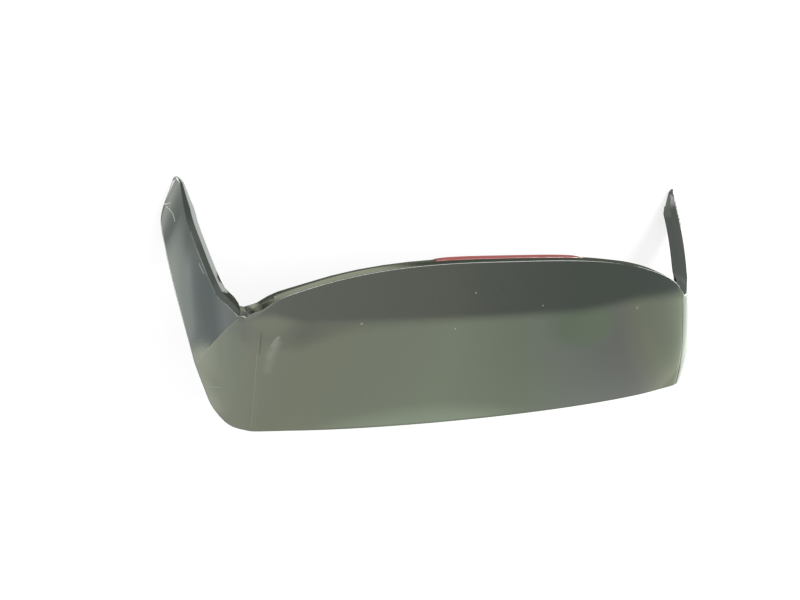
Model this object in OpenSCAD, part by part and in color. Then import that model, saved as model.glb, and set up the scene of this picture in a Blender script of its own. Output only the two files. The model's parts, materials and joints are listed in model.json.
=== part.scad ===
// Rear roof spoiler with side winglets and a high brake lamp.
// The skin is drawn lying back: x across the car, y rearwards from the front edge,
// z up from the winglet tips. It is then pitched to the angle it has on the car.

/* [Blade] */
// Front edge to trailing edge on the centre line
chord = 301; // [280:1:320]
// How far the trailing edge sweeps forward at the reference half width
te_sweep = 79; // [60:1:90]
// Reference half width for the sweep and the crown
ref_half = 480; // [470:1:490]
// Height of the front edge above the winglet tips, on the centre line
blade_h = 230; // [215:1:245]
// Drop of the blade from its centre to the reference half width
crown = 66; // [50:1:75]
// Rise towards the rear, as a slope
rise = 0.1; // [0.05:0.01:0.15]
// Height of the camber arc over its own span
camber = 23; // [10:1:30]
// Nose-down angle of the blade on the car, in degrees
pitch = 12; // [6:1:16]

/* [Corners and winglets] */
// Half width at the crease, at the front edge
crease_x = 489; // [480:1:495]
// How far the crease leans inwards for each millimetre rearwards
crease_lean = 0.11; // [0.08:0.01:0.14]
// Slope added beyond the crease
corner_slope = 0.39; // [0.3:0.01:0.5]
// Roundness of the crease at the front edge
crease_r = 14; // [8:1:30]
// Roundness of the crease at the trailing edge
crease_fade = 110; // [60:5:140]
// Slope added on the winglet beyond its own soft crease
winglet_slope = 0.13; // [0.05:0.01:0.2]
// Depth of the groove along the crease
groove = 1.2; // [0:0.1:1.6]
// Reach of the winglet rearwards, from the notch to its tip
winglet_reach = 237; // [225:1:245]

/* [Edges] */
// Thickness of the painted skin
skin_t = 3; // [2.5:0.1:3.5]
// Depth of the turned-down front and outer edge
edge_drop = 9; // [7:0.5:11]
// Height of the rear fascia's upper facet on the blade
upper_h = 17; // [15:0.5:19]
// How far that facet slopes rearwards
upper_out = 5.7; // [4.5:0.1:7]
// Height of the rear fascia's lower facet on the blade, which holds the lamp
lower_h = 20; // [18:0.5:22]
// How far that facet slopes rearwards between the lamp and the corner
lower_out = 0.5; // [0.3:0.1:1.5]
// Height of the fascia's upper facet on the winglet
lip_upper_h = 10; // [8:0.5:12]
// How far that facet slopes inwards
lip_upper_out = 11; // [9:0.5:12]
// Height of the fascia's lower facet on the winglet
lip_lower_h = 16; // [14:0.5:18]
// How far that facet slopes inwards
lip_lower_out = 9; // [7:0.5:10]
// Thickness of the lower shell and the winglet liners
shell_t = 2.5; // [2:0.1:3]

/* [Brake lamp] */
// Half length of the lens
lens_half = 159; // [140:1:175]
// How far the lens slopes rearwards at its ends
lens_out = 2.8; // [2:0.1:4]
// How much further its middle bulges
lens_bulge = 2.5; // [1:0.1:4]
// Depth of the lamp housing, front to rear
lamp_depth = 20; // [18:1:22]
// Number of light sources
led_count = 16; // [8:2:20]

/* [Mounting] */
// Stud spacing across the car
stud_dx = 660; // [600:10:700]
// Stud spacing along the car
stud_dy = 90; // [80:1:96]
// Distance from the front edge to the middle of the stud pattern
stud_back = 112; // [106:1:118]
// Stud thread diameter
stud_d = 6; // [5:1:8]
// Stud length below its seat
stud_len = 22; // [18:1:28]

/* [Hidden] */

crown_pow = 2.1;
sweep_pow = 3;
notch_dip = 12;
dip_run = 73;
dip_full = 17;
camber_span = 310;
fade_span = 200;
corner_curve = 0.0015;
winglet_curve = -0.0006;
tip_round = 20;
crease_v = 0.5;
arc_v = 0.68;
crease_end_y = 236;
crease_te = crease_x - crease_lean * crease_end_y;
step_blade = [upper_out, upper_h];
lamp_bottom = upper_h + lower_h;
step_wing = [lip_upper_out, lip_upper_h];
drop_wing = [lip_lower_out, lip_lower_h];

// Outline of the right-hand end, seen from above. Along the winglet each point is given by
// how far it lies outside the crease and by its share of the way to the tip.
corner_y = 119;
notch_out = 16;
notch_x = crease_x + notch_out;
notch_y = te_y(notch_x);
tip_y = notch_y + winglet_reach;
corner_pts = [for (p = [[0, 0], [34, 10], [60, 41], [74, 78], [87, corner_y]]) [crease_x + p[0], p[1]]];
side_pts = [for (p = [[87, 0], [101, 0.2], [112, 0.355], [120, 0.483], [128, 0.633], [133, 0.81], [112, 1]])
    [crease_x + p[0], mix(corner_y, tip_y, p[1])]];
lip_pts = [for (p = [[notch_out, 0], [31, 0.076], [48, 0.152], [62, 0.3], [77, 0.502], [92, 0.743], [98, 1]])
    [crease_x + p[0], mix(notch_y, tip_y, p[1])]];
tip_bulge = 12;

// Soft fold where the winglet turns down, which starts just in front of the notch
fold_turn = 38.9;
fold_y = notch_y - 2;
fold_run = 113;
fold_r = 25;
fold_r_gain = 200;

// Small helpers
function mix(a, b, t) = a + (b - a) * t;
function clamp01(t) = min(1, max(0, t));
function ease(t) = let (c = clamp01(t)) c * c * (3 - 2 * c);
function soft(d, r) = (d + sqrt(d * d + r * r)) / 2;
function unit2(p) = p / max(1e-9, norm(p));

// Catmull-Rom curve through p, at t from 0 to 1
function along(p, t) =
    let (n = len(p) - 1,
        s = min(n - 1e-6, max(0, t * n)),
        i = floor(s),
        f = s - i,
        b = p[i],
        c = p[i + 1],
        a = i > 0 ? p[i - 1] : 2 * b - c,
        d = i + 2 <= n ? p[i + 2] : 2 * c - b)
    0.5 * (2 * b + (c - a) * f + (2 * a - 5 * b + 4 * c - d) * f * f
        + (3 * b - a - 3 * c + d) * f * f * f);

// Trailing edge in plan, with a dip beside the notch
function te_y(x) = let (a = abs(x))
    chord - te_sweep * pow(a / ref_half, sweep_pow)
        - notch_dip * ease((a - notch_x + dip_run) / (dip_run - dip_full)) * ease((notch_x - a) / dip_full);

// Height of the outer surface at any point in plan
function skin_z(x, y) =
    let (ax = abs(x),
        t = y / camber_span,
        blade = blade_h + rise * y + 4 * camber * t * (1 - t)
            - crown * pow(ax / ref_half, crown_pow),
        crease_d = ax - (crease_x - crease_lean * y),
        f1 = soft(crease_d, mix(crease_r, crease_fade, ease(y / fade_span))),
        wing_d = (ax - notch_x) * cos(fold_turn) + (y - fold_y) * sin(fold_turn),
        w = clamp01(((ax - notch_x) * sin(fold_turn) - (y - fold_y) * cos(fold_turn)) / fold_run),
        f2 = soft(wing_d, fold_r + fold_r_gain * w * w),
        z = blade - corner_slope * f1 - corner_curve * f1 * f1
            - winglet_slope * f2 - winglet_curve * f2 * f2)
    (z + sqrt(z * z + tip_round * tip_round)) / 2;

// Plan of the front or outer edge, and of the trailing edge or lip, at v from 0 to 1
function front_edge(v) =
    v <= crease_v ? [crease_x * v / crease_v, 0]
    : v <= arc_v ? along(corner_pts, (v - crease_v) / (arc_v - crease_v))
    : along(side_pts, (v - arc_v) / (1 - arc_v));
function rear_edge(v) =
    v <= crease_v ? let (x = crease_te * v / crease_v) [x, te_y(x)]
    : v <= arc_v ? let (x = mix(crease_te, notch_x, (v - crease_v) / (arc_v - crease_v)))
        [x, te_y(x)]
    : along(lip_pts, (v - arc_v) / (1 - arc_v));
function plan(u, v) =
    let (a = abs(v),
        p = mix(front_edge(a), rear_edge(a), u),
        b = tip_bulge * 4 * u * (1 - u) * ease((a - 0.9) / 0.1))
    [v < 0 ? -p[0] : p[0], p[1] + b];
function on_skin(u, v) = let (p = plan(u, v)) [p[0], p[1], skin_z(p[0], p[1])];

// Slope factor that keeps the skin the same thickness where it leans
function lean(x, y) =
    let (z = skin_z(x, y), dx = skin_z(x + 1, y) - z, dy = skin_z(x, y + 1) - z)
    sqrt(1 + dx * dx + dy * dy);

// Columns and rows of the skin's net
lens_v = crease_v * lens_half / crease_te;
wing_columns = [1 / 12, 1 / 6, 0.25, 1 / 3, 5 / 12, 0.5, 7 / 12, 2 / 3, 0.735, 0.802, 0.86, 0.915, 0.96, 1];
half_v = concat([for (w = [0.25 : 0.25 : 0.75]) w * lens_v],
    [lens_v, lens_v * 1.01],
    [for (w = [0.44, 0.54, 0.64, 0.74, 0.82, 0.88, 0.93, 0.965, 0.99, 1]) w * crease_v],
    [for (k = [1 : 8]) mix(crease_v, arc_v, k / 8)],
    [for (w = wing_columns) mix(arc_v, 1, w)]);
net_v = concat([for (k = [len(half_v) - 1 : -1 : 0]) -half_v[k]], [0], half_v);
net_u = [0, 0.03, 0.08, 0.16, 0.22, 0.292, 0.37, 0.45, 0.55, 0.65, 0.75, 0.85, 0.93, 1];
last_v = len(net_v) - 1;
last_u = len(net_u) - 1;

function groove_at(u, v) =
    abs(abs(v) - crease_v) < 1e-6 ? groove * (1 - ease(u / 0.55)) : 0;

// Border of the net, right round, as [u, v] pairs: front, right tip, rear, left tip
border = concat(
    [for (j = [0 : last_v - 1]) [0, net_v[j]]],
    [for (i = [0 : last_u - 1]) [net_u[i], 1]],
    [for (j = [last_v : -1 : 1]) [1, net_v[j]]],
    [for (i = [last_u : -1 : 1]) [net_u[i], -1]]);
border_n = len(border);

// Outward direction in plan at a border place. Along the rear it turns softly past the notch,
// from a chord that reaches turn_reach millimetres each way.
turn_reach = 26;
notch_run = 50;
tip_run = 327;
edge_map = [[0, 0], [crease_te, crease_v], [crease_te + notch_run, arc_v], [crease_te + tip_run, 1]];
function run_of(v) = sign(v) * lookup(abs(v), [for (m = edge_map) [m[1], m[0]]]);
function v_of(run) = sign(run) * lookup(abs(run), edge_map);
function rear_chord(v) =
    plan(1, v_of(run_of(v) - turn_reach)) - plan(1, v_of(run_of(v) + turn_reach));
function outward(k) =
    let (a = border[(k + border_n - 1) % border_n],
        b = border[(k + 1) % border_n],
        at_rear = border[k][0] == 1 && abs(border[k][1]) < 1,
        t = unit2(at_rear ? rear_chord(border[k][1]) : plan(b[0], b[1]) - plan(a[0], a[1])))
    [t[1], -t[0]];

// Section of the turned-down edge at a border place: [outwards, downwards] pairs
upper_swell = 1.3;
lower_swell = 1.3;
notch_trim = 0.2;
function blade_to_wing(v) = ease((abs(v) - 0.4) / 0.24);
function beside_lamp(v) = ease((abs(v) - 0.18) / 0.14);
function rear_room(z) = clamp01((z - 3) / 34);
function near_notch(v) = 1 - ease(abs(abs(v) - arc_v) / 0.07);
function fascia(v, z) =
    let (b = blade_to_wing(v),
        q = rear_room(z) * (1 - notch_trim * near_notch(v)),
        swell = upper_swell * (beside_lamp(v) - 0.75 * ease((abs(v) - 0.34) / 0.1)),
        s = mix(step_blade + [swell, 0], step_wing, b) * q,
        d = mix([lower_out + lower_swell * (1 - beside_lamp(v)), lower_h], drop_wing, b) * q)
    [s, s + d];
function rear_section(v, z) =
    let (f = fascia(v, z), s = f[0], e = f[1], t = skin_t)
    abs(v) <= lens_v + 1e-6
    ? [[0.9, 0.5], [1.6, 1.8], s + [-0.4, -1.5], s + [0, 0], s + [0.2, 1],
        s + [0.2 - t, 1], [s[0] - t - 1.5, s[1] / 2]]
    : [[0.9, 0.5] * rear_room(z), [1.6, 1.8] * rear_room(z), s, s + [0.8, 0.8] * rear_room(z), e,
        e - [t, 0], s - [t, 0]];
function edge_section(z) =
    let (d = min(edge_drop, z - 1), t = skin_t)
    [[0.7, 0.4], [1.2, 1.6], [1.2, d * 0.5], [1.2, d * 0.75], [1.2, d],
        [1.2 - t, d], [1.2 - t, d * 0.6]];
function section_at(k) =
    let (u = border[k][0], v = border[k][1], z = on_skin(u, v)[2],
        front = border[k][0] == 0 && abs(v) < 1, rear = border[k][0] == 1 && abs(v) < 1)
    front ? edge_section(z)
    : rear ? rear_section(v, z)
    : mix(edge_section(z), rear_section(v, z), ease(u));
function edge_point(k, s) =
    let (p = on_skin(border[k][0], border[k][1]), n = outward(k))
    [p[0] + s[0] * n[0], p[1] + s[0] * n[1], p[2] - s[1]];

// Inner face of the skin
function border_index(i, j) =
    i == 0 ? j
    : j == last_v ? last_v + i
    : i == last_u ? last_v + last_u + (last_v - j)
    : j == 0 ? 2 * last_v + last_u + (last_u - i)
    : -1;
function inner_point(i, j) =
    let (k = border_index(i, j),
        p = plan(net_u[i], net_v[j]),
        q = k < 0 ? p : p - skin_t * outward(k % border_n))
    [q[0], q[1], skin_z(q[0], q[1]) - skin_t * lean(q[0], q[1])];

// Faces of a net of rows x cols points that starts at index base
function net_faces(rows, cols, base, up) = [
    for (i = [0 : rows - 2], j = [0 : cols - 2])
        let (a = base + i * cols + j, b = a + 1, c = a + cols, d = c + 1)
        each up ? [[a, c, d], [a, d, b]] : [[a, d, c], [a, b, d]]];
// Faces between two closed loops of n points each
function band_faces(upper, lower) = [
    for (k = [0 : len(upper) - 1])
        let (m = (k + 1) % len(upper))
        each [[upper[k], upper[m], lower[m]], [upper[k], lower[m], lower[k]]]];

// Closed solid between an upper and a lower net of the same size
module slab(top, bottom) {
    rows = len(top);
    cols = len(top[0]);
    n = rows * cols;
    rim = concat(
        [for (j = [0 : cols - 2]) j],
        [for (i = [0 : rows - 2]) i * cols + cols - 1],
        [for (j = [cols - 1 : -1 : 1]) (rows - 1) * cols + j],
        [for (i = [rows - 1 : -1 : 1]) i * cols]);
    polyhedron(
        points = concat([for (r = top) each r], [for (r = bottom) each r]),
        faces = concat(net_faces(rows, cols, 0, true), net_faces(rows, cols, n, false),
            band_faces(rim, [for (k = rim) k + n])),
        convexity = 6);
}

// Closed solid through a row of rings that all have the same number of points
module loft(rings) {
    m = len(rings[0]);
    n = len(rings);
    polyhedron(
        points = [for (r = rings) each r],
        faces = concat(
            [for (i = [0 : n - 2], k = [0 : m - 1])
                let (a = i * m + k, b = i * m + (k + 1) % m)
                each [[a, b, b + m], [a, b + m, a + m]]],
            [[for (k = [m - 1 : -1 : 0]) k]],
            [[for (k = [0 : m - 1]) (n - 1) * m + k]]),
        convexity = 6);
}

// Underside of the box section, on a straight line from the front edge to the lamp
function rear_k(j) = (last_v + last_u + last_v - j) % border_n;
function rear_pt(j, o, d) = edge_point(rear_k(j), [o, d]);
function front_pt(j, o, d) = edge_point(j, [o, d]);
function rim_of(j) = fascia(net_v[j], on_skin(1, net_v[j])[2])[1];
function shell_row(j, front_in, front_down, rear_in, parts) =
    let (e = rim_of(j),
        f = front_pt(j, -front_in, front_down),
        r = rear_pt(j, -rear_in, e[1]))
    concat([for (c = parts) mix(f, r, c)],
        [r, rear_pt(j, e[0] - skin_t, e[1]), rear_pt(j, e[0], e[1])]);
function turned(rows) = [for (i = [0 : len(rows[0]) - 1]) [for (r = rows) r[i]]];
function lowered(net, d) = [for (r = net) [for (p = r) p - [0, 0, d]]];
function columns(lo, hi) =
    [for (j = [0 : last_v]) if (net_v[j] > lo - 1e-6 && net_v[j] < hi + 1e-6) j];

shell_front_in = 4;
shell_front_down = 8;
shell_rear_in = lamp_depth + 4;
shell_parts = [0, 0.02, 0.05, 0.35, 0.65, 0.88];
bead_row = 1;
function blade_shell() = turned([for (j = columns(-crease_v, crease_v))
    shell_row(j, shell_front_in, shell_front_down, shell_rear_in, shell_parts)]);

liner_in = 2.2;
liner_end = 0.98;
liner_rear_in = 8;
liner_parts = [0, 0.12, 0.34, 0.65];
liner_gap = 0.3;
function under_skin(p) =
    [p[0], p[1], min(p[2], skin_z(p[0], p[1]) - skin_t * lean(p[0], p[1]) - liner_gap)];
function wing_shell() = turned([for (j = columns(crease_v, liner_end))
    let (z = on_skin(0, net_v[j])[2],
        row = shell_row(j, liner_in, min(edge_drop, z - 1) - shell_t, liner_rear_in, liner_parts),
        last = len(liner_parts))
    [for (k = [0 : len(row) - 1]) k <= last ? under_skin(row[k]) : row[k]]]);

// Height of the lower shell's upper face in plan
function shell_z(x, y) =
    let (te = te_y(x),
        f = skin_z(x, 0) - shell_front_down,
        r = skin_z(x, te) - lamp_bottom)
    mix(f, r, (y - shell_front_in) / (te - shell_rear_in - shell_front_in));

// Puts what is drawn lying back at its angle on the car, about the stud pattern's middle
boss_min = 4;
seat_z = shell_z(stud_dx / 2, stud_back + stud_dy / 2) - shell_t - boss_min
    - stud_dy / 2 * tan(pitch);
module on_car() rotate([-pitch, 0, 0]) translate([0, -stud_back, -seat_z]) children();

// Height on the car of the lower shell's upper face above the stud seats
function lying_y(x, y) =
    let (guess = stud_back + y / cos(pitch), z = shell_z(x, guess) - seat_z)
    stud_back + (y - z * sin(pitch)) / cos(pitch);
function car_z(x, y) =
    let (yl = lying_y(x, y))
    cos(pitch) * (shell_z(x, yl) - seat_z) - sin(pitch) * (yl - stud_back);

module outer_skin() {
    rows = last_u + 1;
    cols = last_v + 1;
    n = rows * cols;
    top = [for (i = [0 : last_u], j = [0 : last_v])
        on_skin(net_u[i], net_v[j]) - [0, 0, groove_at(net_u[i], net_v[j])]];
    under = [for (i = [0 : last_u], j = [0 : last_v]) inner_point(i, j)];
    sections = [for (k = [0 : border_n - 1]) section_at(k)];
    bands = len(sections[0]);
    skirt = [for (r = [0 : bands - 1], k = [0 : border_n - 1]) edge_point(k, sections[k][r])];
    rim = concat(
        [for (j = [0 : last_v - 1]) j],
        [for (i = [0 : last_u - 1]) i * cols + last_v],
        [for (j = [last_v : -1 : 1]) last_u * cols + j],
        [for (i = [last_u : -1 : 1]) i * cols]);
    loops = concat([rim],
        [for (r = [0 : bands - 1]) [for (k = [0 : border_n - 1]) 2 * n + r * border_n + k]],
        [[for (k = rim) n + k]]);
    color([0.13, 0.15, 0.13])
        on_car()
            polyhedron(
                points = concat(top, under, skirt),
                faces = concat(net_faces(rows, cols, 0, true), net_faces(rows, cols, n, false),
                    [for (r = [0 : len(loops) - 2]) each band_faces(loops[r], loops[r + 1])]),
                convexity = 10);
}

// Stud seats and rubber feet
boss_d = 30;
boss_top = 6;
seat_room = 1;
stud_bore = stud_d + 0.6;
stud_grip_d = stud_d + 0.4;
stud_head_d = 20;
stud_head_t = 2;
seal_t = 3;
stud_places = [for (x = [-1, 1], y = [-1, 1]) [x * stud_dx / 2, y * stud_dy / 2]];
buffer_x = 250;
buffer_y = 105;
buffer_places = [for (x = [-1, 1]) [x * buffer_x, buffer_y]];
buffer_d = 22;
buffer_t = 8;
buffer_pad = 7;
function buffer_top(p) = car_z(p[0], p[1]) - shell_t - buffer_pad;

// Screws that hold the lamp to the lower shell
screw_x = lens_half - 11;
screw_in = 11;
screw_d = 4;
screw_head_d = 9;
screw_head_t = 2.5;
screw_reach = 8;
function at_edge(x, o, d) =
    let (y = te_y(x), t = unit2([1, te_y(x + 0.5) - te_y(x - 0.5)]))
    [x - o * t[1], y + o * t[0], skin_z(x, y) - d];
module at_screws()
    for (x = [-screw_x, screw_x]) translate(at_edge(x, -screw_in, lamp_bottom)) children();

module lower_shell() {
    net = blade_shell();
    color([0.09, 0.09, 0.09])
        difference() {
            union() {
                on_car() slab(net, lowered(net, shell_t));
                for (p = stud_places)
                    translate([p[0], p[1], 0])
                        cylinder(h = car_z(p[0], p[1]) + boss_top, d = boss_d, $fn = 40);
                for (p = buffer_places)
                    translate([p[0], p[1], buffer_top(p)])
                        cylinder(h = car_z(p[0], p[1]) - buffer_top(p) - 0.5, d = buffer_d, $fn = 40);
            }
            for (p = stud_places)
                translate([p[0], p[1], -seal_t]) {
                    cylinder(h = seal_t, d = boss_d + seat_room, $fn = 40);
                    cylinder(h = car_z(p[0], p[1]) + boss_top + seal_t + 1, d = stud_bore, $fn = 32);
                }
            on_car() at_screws()
                translate([0, 0, -shell_t - 1]) cylinder(h = shell_t + 2, d = screw_d + 0.4, $fn = 24);
        }
}

module mounting_studs() {
    color([0.75, 0.72, 0.6])
        for (p = stud_places)
            translate([p[0], p[1], 0]) {
                top = car_z(p[0], p[1]) + boss_top;
                translate([0, 0, -stud_len]) cylinder(h = stud_len, d = stud_d, $fn = 48);
                cylinder(h = top, d = stud_grip_d, $fn = 48);
                translate([0, 0, top]) cylinder(h = stud_head_t, d = stud_head_d, $fn = 48);
            }
}

module stud_seals() {
    color([0.16, 0.16, 0.16])
        for (p = stud_places)
            translate([p[0], p[1], -seal_t])
                difference() {
                    cylinder(h = seal_t, d = boss_d, $fn = 48);
                    translate([0, 0, -1]) cylinder(h = seal_t + 2, d = stud_d + 5, $fn = 48);
                }
}

module rubber_buffers() {
    color([0.1, 0.1, 0.1])
        for (p = buffer_places)
            translate([p[0], p[1], buffer_top(p) - buffer_t]) {
                cylinder(h = buffer_t, d = buffer_d - 4, $fn = 48);
                translate([0, 0, buffer_t - 2]) cylinder(h = 2, d = buffer_d, $fn = 48);
            }
}

// Adhesive between the skin and the lower shell, just behind the front edge
module front_bond_bead() {
    net = blade_shell();
    low = [net[bead_row], net[bead_row + 1]];
    high = [for (r = low) [for (p = r)
        [p[0], p[1], skin_z(p[0], p[1]) - skin_t * lean(p[0], p[1]) - 0.3]]];
    color([0.2, 0.2, 0.2]) on_car() slab(high, low);
}

// Soft strip under the front edge, against the tailgate
front_seal_t = 5;
module front_seal() {
    net = lowered(blade_shell(), shell_t);
    high = [net[bead_row], net[bead_row + 1]];
    color([0.14, 0.14, 0.14]) on_car() slab(high, lowered(high, front_seal_t));
}

// Clips on the body side of each winglet
clip_columns = [2, 6];
clip_row = 3;
clip_d = 7;
clip_len = 11;
clip_pad_d = 14;
clip_pad_t = 9;
function clip_seat(k) =
    let (col = columns(arc_v, 1)[k] - columns(crease_v, liner_end)[0],
        p = wing_shell()[clip_row][col])
    [p[0], p[1], p[2] - shell_t - clip_pad_t];
module at_clips() for (k = clip_columns) translate(clip_seat(k)) children();

module right_liner_shape() {
    net = wing_shell();
    on_car() {
        slab(net, lowered(net, shell_t));
        at_clips() cylinder(h = clip_pad_t + 1, d = clip_pad_d, $fn = 32);
    }
}
module right_winglet_liner() color([0.1, 0.1, 0.1]) right_liner_shape();
module left_winglet_liner() color([0.1, 0.1, 0.1]) mirror([1, 0, 0]) right_liner_shape();

module clip_shape() {
    translate([0, 0, -clip_len]) cylinder(h = clip_len, d = clip_d, $fn = 48);
    translate([0, 0, -clip_len - 3]) cylinder(h = 3, d1 = 3, d2 = clip_d, $fn = 48);
    translate([0, 0, -1]) cylinder(h = 1, d = clip_pad_d - 2, $fn = 48);
}
module right_clips() color([0.85, 0.85, 0.8]) on_car() at_clips() clip_shape();
module left_clips() color([0.85, 0.85, 0.8]) mirror([1, 0, 0]) on_car() at_clips() clip_shape();

// Foam strip along the body side of each winglet
edge_seal_t = 4;
module edge_seal_shape() {
    net = lowered(wing_shell(), shell_t);
    high = [net[1], net[2]];
    on_car() slab(high, lowered(high, edge_seal_t));
}
module right_edge_seal() color([0.16, 0.16, 0.16]) edge_seal_shape();
module left_edge_seal() color([0.16, 0.16, 0.16]) mirror([1, 0, 0]) edge_seal_shape();

// Brake lamp, swept along the trailing edge
gasket_t = 2;
gasket_top = upper_h + 1;
lamp_top = gasket_top + gasket_t;
lens_t = 3.2;
wall = 2;
lens_gap = 0.4;
lens_end = lens_half - lens_gap;
lens_low = upper_out + lens_out;
lens_high = mix(upper_out + 0.8, lens_low, (lamp_top - upper_h) / lower_h);
board_half = lens_half - 19;
board_t = 1.6;
led_size = 3.5;
led_t = 2.2;
guide_t = 8;
lamp_mid = (lamp_top + lamp_bottom) / 2;
station_gap = 20;
function stations(l, last) =
    let (n = ceil(2 * last / station_gap))
    concat([-l], [for (k = [0 : n]) let (x = (2 * k / n - 1) * last) if (abs(x) < l - 1) x], [l]);
module swept(section, l, last = board_half)
    loft([for (x = stations(l, last)) [for (s = section) at_edge(x, s[0], s[1])]]);

function lens_section(x) =
    let (bulge = lens_bulge * (1 - pow(x / lens_half, 2)))
    [[lens_high, lamp_top], [lens_low + bulge, lamp_bottom],
        [lens_low - lens_t, lamp_bottom], [lens_high - lens_t, lamp_top]];
module lamp_lens() {
    color([0.75, 0.05, 0.08])
        on_car() loft([for (x = stations(lens_end, board_half))
            [for (s = lens_section(x)) at_edge(x, s[0], s[1])]]);
}

module lamp_gasket() {
    color([0.12, 0.12, 0.12])
        on_car() swept([[-6, gasket_top], [step_blade[0], gasket_top],
            [step_blade[0], lamp_top], [-6, lamp_top]], lens_end);
}

inlet_w = 18;
inlet_len = 14;
inlet_wall = 1.5;
inlet_top = 24;
inlet_bottom = 34;
pin_w = 2;
pin_t = 0.8;
pin_back = 3;
pin_end = 1;
pin_x = 3;
module terminal_shape() {
    for (x = [-pin_x, pin_x])
        translate([x - pin_w / 2, te_y(0) - lamp_depth - inlet_len + pin_back,
            skin_z(0, te_y(0)) - lamp_mid - pin_t / 2])
            cube([pin_w, inlet_len - pin_back + wall + board_t + pin_end, pin_t]);
}

module lamp_housing() {
    z0 = skin_z(0, te_y(0));
    y0 = te_y(0) - lamp_depth;
    color([0.08, 0.08, 0.08])
        on_car() difference() {
            union() {
                difference() {
                    swept([[lens_high - lens_t, lamp_top], [lens_low - lens_t, lamp_bottom],
                        [-lamp_depth, lamp_bottom], [-lamp_depth, lamp_top]], lens_end);
                    swept([[lens_low + 2, lamp_top + wall], [lens_low + 2, lamp_bottom - wall],
                        [wall - lamp_depth, lamp_bottom - wall], [wall - lamp_depth, lamp_top + wall]],
                        lens_end - wall, board_half + station_gap / 2);
                }
                translate([-inlet_w / 2, y0 - inlet_len, z0 - inlet_bottom])
                    cube([inlet_w, inlet_len + 0.2, inlet_bottom - inlet_top]);
                at_screws() translate([0, 0, wall / 2])
                    cylinder(h = screw_reach + 1.5 - wall / 2, d = screw_d + 5, $fn = 32);
            }
            translate([-inlet_w / 2 + inlet_wall, y0 - inlet_len - 1, z0 - inlet_bottom + inlet_wall])
                cube([inlet_w - 2 * inlet_wall, inlet_len - 0.5, inlet_bottom - inlet_top - 2 * inlet_wall]);
            terminal_shape();
            at_screws() translate([0, 0, -1]) cylinder(h = screw_reach + 1, d = screw_d, $fn = 32);
        }
}
module lamp_terminals() color([0.8, 0.68, 0.4]) on_car() terminal_shape();

module lamp_screws() {
    color([0.6, 0.6, 0.62])
        on_car() at_screws() {
            translate([0, 0, -shell_t]) cylinder(h = screw_reach + shell_t, d = screw_d, $fn = 32);
            translate([0, 0, -shell_t - screw_head_t])
                cylinder(h = screw_head_t, d = screw_head_d, $fn = 32);
        }
}

module lamp_board() {
    color([0.1, 0.35, 0.2])
        on_car() difference() {
            swept([[wall - lamp_depth + board_t, lamp_top + wall + 0.5],
                [wall - lamp_depth + board_t, lamp_bottom - wall - 0.5],
                [wall - lamp_depth, lamp_bottom - wall - 0.5],
                [wall - lamp_depth, lamp_top + wall + 0.5]], board_half);
            terminal_shape();
        }
}

led_back = wall - lamp_depth + board_t;
led_half = board_half - 10;
module lamp_leds() {
    pitch_x = 2 * led_half / (led_count - 1);
    color([0.95, 0.9, 0.6])
        on_car() for (k = [0 : led_count - 1]) {
            x = k * pitch_x - led_half;
            turn = atan(te_y(x + 0.5) - te_y(x - 0.5));
            translate(at_edge(x, led_back, lamp_mid)) rotate([0, 0, turn])
                translate([-led_size / 2, 0, -led_size / 2]) cube([led_size, led_t, led_size]);
        }
}

module lamp_light_guide() {
    g = led_back + led_t;
    color([0.95, 0.95, 0.95])
        on_car() swept([[g + guide_t, lamp_mid - 3], [g + guide_t, lamp_mid + 3],
            [g, lamp_mid + 3], [g, lamp_mid - 3]], board_half);
}

outer_skin();
lower_shell();
left_winglet_liner();
right_winglet_liner();
front_bond_bead();
lamp_lens();
lamp_housing();
lamp_board();
lamp_leds();
lamp_light_guide();
lamp_gasket();
lamp_terminals();
lamp_screws();
mounting_studs();
stud_seals();
front_seal();
left_edge_seal();
right_edge_seal();
left_clips();
right_clips();
rubber_buffers();
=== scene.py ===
import json
import math

import bpy
import numpy as np
from mathutils import Matrix, Vector


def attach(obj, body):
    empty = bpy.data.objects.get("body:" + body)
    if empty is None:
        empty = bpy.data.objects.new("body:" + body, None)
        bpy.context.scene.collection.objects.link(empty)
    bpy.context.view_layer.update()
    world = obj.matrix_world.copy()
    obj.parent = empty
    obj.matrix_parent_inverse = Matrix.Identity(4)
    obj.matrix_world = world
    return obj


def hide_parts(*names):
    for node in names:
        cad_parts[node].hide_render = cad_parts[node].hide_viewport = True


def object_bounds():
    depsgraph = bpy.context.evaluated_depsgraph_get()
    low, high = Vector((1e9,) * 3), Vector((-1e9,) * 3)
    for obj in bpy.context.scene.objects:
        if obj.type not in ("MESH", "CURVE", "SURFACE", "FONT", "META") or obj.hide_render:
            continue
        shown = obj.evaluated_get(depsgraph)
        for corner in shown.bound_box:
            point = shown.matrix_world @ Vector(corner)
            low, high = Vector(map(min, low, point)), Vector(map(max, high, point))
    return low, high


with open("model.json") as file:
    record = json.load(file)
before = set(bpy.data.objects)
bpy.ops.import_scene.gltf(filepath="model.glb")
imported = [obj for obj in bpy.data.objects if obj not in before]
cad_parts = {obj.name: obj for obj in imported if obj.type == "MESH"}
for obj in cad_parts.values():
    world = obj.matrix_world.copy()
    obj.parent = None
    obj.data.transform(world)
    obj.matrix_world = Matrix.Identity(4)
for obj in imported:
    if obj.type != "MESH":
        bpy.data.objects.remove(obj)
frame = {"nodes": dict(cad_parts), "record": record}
cadLow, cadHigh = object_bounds()
nodes = frame["nodes"]
print("frame loaded:", len(nodes), "nodes")


# Small tools

def hexColour(code):
    # sRGB hex to linear
    values = [int(code[i:i + 2], 16) / 255 for i in (1, 3, 5)]
    return [v / 12.92 if v <= 0.04045 else ((v + 0.055) / 1.055) ** 2.4 for v in values] + [1.0]


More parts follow.
